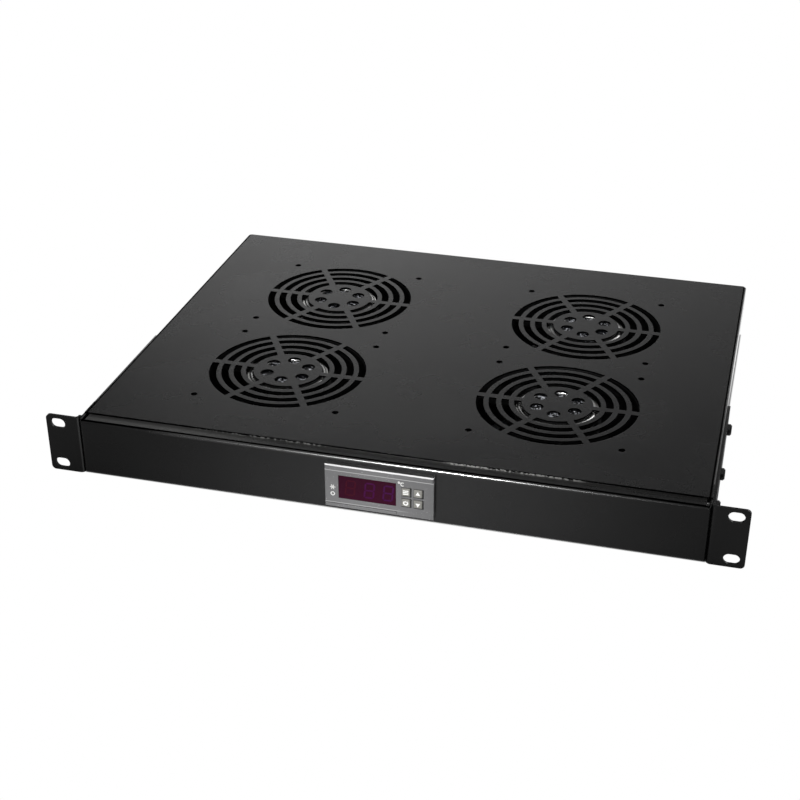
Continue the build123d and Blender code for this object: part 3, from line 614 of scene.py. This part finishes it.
def bezelMaterial():
    # grey moulding with painted shade on its top side, painted highlights along its arrises, and a face darkened
    # towards its right end
    material, tree, shader = coatedMaterial("bezelPlastic", bezelPlastic)
    parts = addNode(tree, "ShaderNodeSeparateXYZ", {0: placeMetres(tree)})
    color = shader.inputs["Base Color"].links[0].from_socket
    start, end, share = bezelPlastic["rightFade"]
    # the face darkened towards its right end
    rightDarkening = ramp(tree, parts.outputs["X"], start * mm, end * mm, 0.0, 1.0 - share)
    color = mixColor(tree, rightDarkening, color, (0.0, 0.0, 0.0))
    # painted highlights along the arrises
    for low, high, last, fade, highlightColor in bezelPlastic["highlightLines"]:
        line = mathNode(tree, "MULTIPLY", band(tree, parts.outputs["Z"], low, high, 0.15),
                        ramp(tree, parts.outputs["X"], last * mm, (last + fade) * mm, 1.0, 0.0))
        color = mixColor(tree, line, color, highlightColor)
    normal = addNode(tree, "ShaderNodeSeparateXYZ", {0: addNode(tree, "ShaderNodeNewGeometry").outputs["True Normal"]})
    # painted shade on the up-facing top side
    color = mixColor(tree, ramp(tree, normal.outputs["Z"], 0.85, 0.95), color, bezelPlastic["paintedTopShade"])
    tree.links.new(color, shader.inputs["Base Color"])
    return material


dress(["controller_bezel"], bezelMaterial())
keyPlastic = {
    **bezelPlastic, "dark": (0.19, 0.187, 0.17), "light": (0.24, 0.236, 0.215), "fleck": 0.4, "edgeRadius": 0.0004,
}
keyNodes = ["set_button", "up_button", "reset_button", "down_button"]
dress(keyNodes, coatedMaterial("keyPlastic", keyPlastic)[0])
lensPlastic = {
    **powderCoat, "dark": (0.024, 0.001, 0.009), "light": (0.034, 0.002, 0.013), "fleck": 0.0,
    "dust": 0.01, "rough": 0.14, "ior": 1.2, "bump": 0.01, "edgeRadius": 0.0002, "wear": 0.0,
}
dress(["display_window"], coatedMaterial("tintedLens", lensPlastic)[0])
blackPlastic = {**powderCoat, "grain": 1500.0, "rough": 0.5, "fleck": 0.1, "dust": 0.01}
dress(["controller_case", "controller_clip_left", "controller_clip_right", "key_switches", "mains_inlet",
       "display_module"], coatedMaterial("blackPlastic", blackPlastic)[0])
greenPlastic = {**blackPlastic, "dark": (0.01, 0.09, 0.04), "light": (0.012, 0.11, 0.05)}
dress(["controller_terminals", "controller_board"], coatedMaterial("greenPlastic", greenPlastic)[0])

inkLook = {
    **powderCoat, "dark": (0.84, 0.84, 0.82), "light": (0.9, 0.9, 0.88), "fleck": 0.0, "wear": 0.0,
    "rough": 0.5, "bump": 0.05, "edgeRadius": 0.00005,
}
inkMaterial = coatedMaterial("whiteInk", inkLook)[0]
# a dark gap round each key, with painted shadow at its lower right
gapShadeLook = {**powderCoat, "dark": (0.004, 0.004, 0.004), "light": (0.006, 0.006, 0.006), "rough": 0.6}
gapShadeMaterial = coatedMaterial("keyGap", gapShadeLook)[0]
ghostMaterials = [
    # how each unlit digit shows through the lens: the first reddish and faint, the others purple
    coatedMaterial(f"ghostDigit{number}", {**lensPlastic, "dark": color, "light": color})[0]
    for number, color in enumerate([(0.042, 0.003, 0.011), (0.046, 0.003, 0.04), (0.044, 0.004, 0.045)])
]

marks = {
    "ink": 0.04, "gap": 0.03, "frameInner": 5.6, "frameOuter": 6.9, "shadowShift": (0.3, -0.3),
    "triangle": 3.0, "barWidth": 3.8, "barHeight": 0.75, "barPitch": 1.25, "ring": (0.9, 1.8),
    "legendX": -32.2, "legendZ": (-1.8, -7.0), "legendSize": 1.3, "unit": (15.4, 7.7), "unitSize": 1.4,
    "digitX": (-19.8, -6.6, 6.4), "digitZ": -1.0, "digitWidth": 7.4, "digitHeight": 12.4,
    "segment": 1.25, "slant": 0.1, "digitLift": 0.015,
}


def triangle(center, size, up):
    # equilateral outline pointing up or down
    turn = np.radians([90, 210, 330] if up else [270, 30, 150])
    return np.column_stack([np.cos(turn), np.sin(turn)]) * size / 1.6 + np.asarray(center)


def keyMarks():
    # a plain sign on each key, raised by the ink's thickness, and the dark gap round each key, shifted to the lower
    # right as painted shadow
    signs = {
        "set_button": lambda c: [bar((c[0], c[1] + i * marks["barPitch"]), (marks["barWidth"], marks["barHeight"]))
                                 for i in (-1, 0, 1)],
        "reset_button": lambda c: [arcBand(*marks["ring"], 120, 420) + c, bar((c[0], c[1] + 1.2), (0.5, 1.2))],
        "up_button": lambda c: [triangle(c, marks["triangle"], True)],
        "down_button": lambda c: [triangle(c, marks["triangle"], False)],
    }
    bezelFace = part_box("display_window")[0][1] / mm
    gapShades = []
    for node, sign in signs.items():
        low, high = [np.array(corner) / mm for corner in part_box(node)]
        center = np.array([(low[0] + high[0]) / 2, (low[2] + high[2]) / 2])
        outlines = [raisedOutline(o, low[1] + 0.02, low[1] - marks["ink"]) for o in sign(center)]
        makePiece(node.replace("_button", "Sign"), *joined(outlines), node + "_key", inkMaterial, "button")
        inner, outer = marks["frameInner"] / 2, marks["frameOuter"] / 2
        # the frame shifted to the lower right as painted shadow
        middle = center + marks["shadowShift"]
        for side in (-1, 1):
            wide = (2 * outer, outer - inner)
            gapShades.append(raisedOutline(bar(middle + (0, side * (inner + outer) / 2), wide),
                                      bezelFace + 0.02, bezelFace - marks["gap"]))
            gapShades.append(raisedOutline(bar(middle + (side * (inner + outer) / 2, 0), wide[::-1]),
                                      bezelFace + 0.02, bezelFace - marks["gap"]))
    makePiece("keyGaps", *joined(gapShades), "tray", gapShadeMaterial, "case")


def bezelLegends():
    # small plain signs left of the display, and the unit mark at its right
    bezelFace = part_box("display_window")[0][1] / mm
    big = marks["legendSize"]
    outlines = [bar((marks["legendX"], marks["legendZ"][0]), (2.9 * big, 0.42 * big), turn) for turn in (0, 60, 120)]
    ring = arcBand(0.75 * big, 1.2 * big, 0, 359, 40) + (marks["legendX"], marks["legendZ"][1])
    outlines.append(ring)
    big = marks["unitSize"]
    outlines.append(arcBand(0.28, 0.6, 0, 359, 24) * big + np.array([-1.1, 0.75]) * big + marks["unit"])
    outlines.append(arcBand(0.7, 1.05, 50, 310, 24) * big + np.array([0.6, 0.0]) * big + marks["unit"])
    solids = [raisedOutline(o, bezelFace + 0.02, bezelFace - marks["ink"]) for o in outlines]
    makePiece("bezelLegends", *joined(solids), "tray", inkMaterial, "bezel")


def segmentOutline(center, length, upright):
    # one bar of a digit with pointed ends
    half, thick = length / 2, marks["segment"] / 2
    points = np.array([(-half, 0), (-half + thick, thick), (half - thick, thick), (half, 0),
                       (half - thick, -thick), (-half + thick, -thick)])
    return (points[:, ::-1] if upright else points) + np.asarray(center)


def ghostDigits():
    # the unlit digits that show faintly through the lens, leaning a little to the right
    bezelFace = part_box("display_window")[0][1] / mm
    w = marks["digitWidth"] / 2 - marks["segment"] / 2
    h = marks["digitHeight"] / 2 - marks["segment"] / 2
    across, up = 2 * w - 0.3, h - 0.3
    layout = [((0, h), across, False), ((0, 0), across, False), ((0, -h), across, False),
              ((-w, h / 2), up, True), ((w, h / 2), up, True), ((-w, -h / 2), up, True), ((w, -h / 2), up, True)]
    for number, x in enumerate(marks["digitX"]):
        solids = []
        for center, length, upright in layout:
            outline = segmentOutline(center, length, upright)
            outline[:, 0] += marks["slant"] * outline[:, 1] + x
            outline[:, 1] += marks["digitZ"]
            solids.append(raisedOutline(outline, bezelFace + 0.02, bezelFace - marks["digitLift"]))
        makePiece(f"ghostDigit{number + 1}", *joined(solids), "tray", ghostMaterials[number], "window")


keyMarks()
bezelLegends()
ghostDigits()
print("thermostat dressed")


# Studio

studio = {
    "floorSize": 6.0, "floorColor": (0.8, 0.8, 0.8), "whiteLevel": 1.0,
    "frontLevel": 0.2, "skyLevel": 0.03, "backLevel": 1.24, "backFade": (0.375, 0.49), "sideFade": (-0.3, 0.14),
    "leftFade": (-0.48, -0.37), "topLevel": 0.4, "topFade": (0.74, 0.9), "sweepY": (105.0, 290.0),
    "lamps": [
        # name, place, aimed at, size, spread in degrees, watts
        ("frontSoftbox", (-0.2, -1.17, 0.56), (0.012, -0.02, 0.0), (0.1, 0.1), 18.0, 0.17),
        ("rightSoftbox", (1.1, 1.7, 1.2), (0.1, 0.25, 0.0), (0.9, 0.9), 180.0, 6.0),
    ],
}


def backgroundShare(tree):
    # how white the background is seen: fully by the camera and through clear pieces
    paths = addNode(tree, "ShaderNodeLightPath").outputs
    return mathNode(tree, "MAXIMUM", paths["Is Camera Ray"], paths["Is Transmission Ray"]), paths["Is Glossy Ray"]


def addLamp(name, place, target, size, spread, watts):
    data = bpy.data.lights.new(name, "AREA")
    data.shape = "RECTANGLE"
    data.size, data.size_y = size
    data.spread = math.radians(spread)
    data.energy = watts
    lamp = bpy.data.objects.new(name, data)
    bpy.context.scene.collection.objects.link(lamp)
    lamp.location = place
    aim = np.array(target) - np.array(place)
    lamp.rotation_euler = Vector(aim).to_track_quat("-Z", "Y").to_euler()


def buildStudio():
    world = bpy.data.worlds.new("studio")
    bpy.context.scene.world = world
    world.use_nodes = True
    tree = world.node_tree
    background = tree.nodes["Background"]
    background.inputs["Color"].default_value = (1.0, 1.0, 1.0, 1.0)
    # behind the object the studio is a white sweep, bright near the floor and at the left, fading upwards
    toSky = addNode(tree, "ShaderNodeSeparateXYZ", {0: addNode(tree, "ShaderNodeTexCoord").outputs["Generated"]})
    fade = ramp(tree, toSky.outputs["Z"], *studio["backFade"], studio["backLevel"], 0.0)
    fade = mathNode(tree, "MULTIPLY", fade, ramp(tree, toSky.outputs["X"], *studio["sideFade"], 1.0, 0.1))
    fade = mathNode(tree, "MULTIPLY", fade, ramp(tree, toSky.outputs["X"], *studio["leftFade"]))
    fade = mathNode(tree, "MULTIPLY", fade, ramp(tree, toSky.outputs["Y"], 0.0, 0.4))
    level = mathNode(tree, "ADD", fade, ramp(tree, toSky.outputs["Y"], -0.1, 0.1, studio["frontLevel"], studio["skyLevel"]))
    overhead = mathNode(tree, "MULTIPLY", ramp(tree, toSky.outputs["Z"], *studio["topFade"]), studio["topLevel"])
    level = mathNode(tree, "ADD", level, overhead)
    share = backgroundShare(tree)[0]
    level = mathNode(tree, "ADD", mathNode(tree, "MULTIPLY", level, mathNode(tree, "SUBTRACT", 1.0, share)),
                     mathNode(tree, "MULTIPLY", share, studio["whiteLevel"]))
    tree.links.new(level, background.inputs["Strength"])
    half = studio["floorSize"] / 2
    level = boxAtLoad[0][2]
    mesh = bpy.data.meshes.new("floor")
    mesh.from_pydata([(-half, -half, level), (half, -half, level), (half, half, level), (-half, half, level)],
                     [], [(0, 1, 2, 3)])
    floor = bpy.data.objects.new("floor", mesh)
    bpy.context.scene.collection.objects.link(floor)
    material, floorTree, shader = newMaterial("paleFloor")
    shader.inputs["Base Color"].default_value = (*studio["floorColor"], 1.0)
    shader.inputs["Roughness"].default_value = 0.7
    white = addNode(floorTree, "ShaderNodeEmission", {"Color": (1.0, 1.0, 1.0, 1.0), "Strength": studio["whiteLevel"]})
    # under the tray the floor stays in shadow, so no white shows up through the slots
    spot = addNode(floorTree, "ShaderNodeSeparateXYZ", {0: placeMetres(floorTree)})
    inside = mathNode(floorTree, "MULTIPLY", band(floorTree, spot.outputs["X"], -216.0, 216.0, 1.0),
                      band(floorTree, spot.outputs["Y"], 2.0, 343.0, 1.0))
    # reflections see the floor whiten from the tray's front to its back, as the sweep behind it does
    seen, mirrored = backgroundShare(floorTree)
    low, high = studio["sweepY"]
    mirrored = mathNode(floorTree, "MULTIPLY", mirrored, ramp(floorTree, spot.outputs["Y"], low * mm, high * mm))
    whiteShare = mathNode(floorTree, "MULTIPLY", mathNode(floorTree, "MAXIMUM", seen, mirrored),
                          mathNode(floorTree, "SUBTRACT", 1.0, inside))
    blend = addNode(floorTree, "ShaderNodeMixShader", {0: whiteShare})
    floorTree.links.new(shader.outputs[0], blend.inputs[1])
    floorTree.links.new(white.outputs[0], blend.inputs[2])
    floorTree.links.new(blend.outputs[0], floorTree.nodes["Material Output"].inputs["Surface"])
    mesh.materials.append(material)
    for lampFacts in studio["lamps"]:
        addLamp(*lampFacts)


buildStudio()
print("studio built")


# Camera

camera = {
    "place": (0.2316068, -0.8141481, 0.5316353), "azimuth": 14.45640, "elevation": 29.66490, "roll": 0.24152,
    "lens": 67.3928, "sensor": 36.0, "shift": (-0.0151229, 0.0297461),
}


def buildCamera():
    data = bpy.data.cameras.new("camera")
    data.lens = camera["lens"]
    data.sensor_width = camera["sensor"]
    data.shift_x, data.shift_y = camera["shift"]
    data.clip_start = 0.01
    eye = bpy.data.objects.new("camera", data)
    bpy.context.scene.collection.objects.link(eye)
    turn = Matrix.Rotation(math.radians(camera["azimuth"]), 4, "Z")
    turn @= Matrix.Rotation(math.radians(90.0 - camera["elevation"]), 4, "X")
    turn @= Matrix.Rotation(math.radians(camera["roll"]), 4, "Z")
    eye.matrix_world = Matrix.Translation(camera["place"]) @ turn
    bpy.context.scene.camera = eye


buildCamera()
bpy.context.scene.view_settings.view_transform = "Standard"
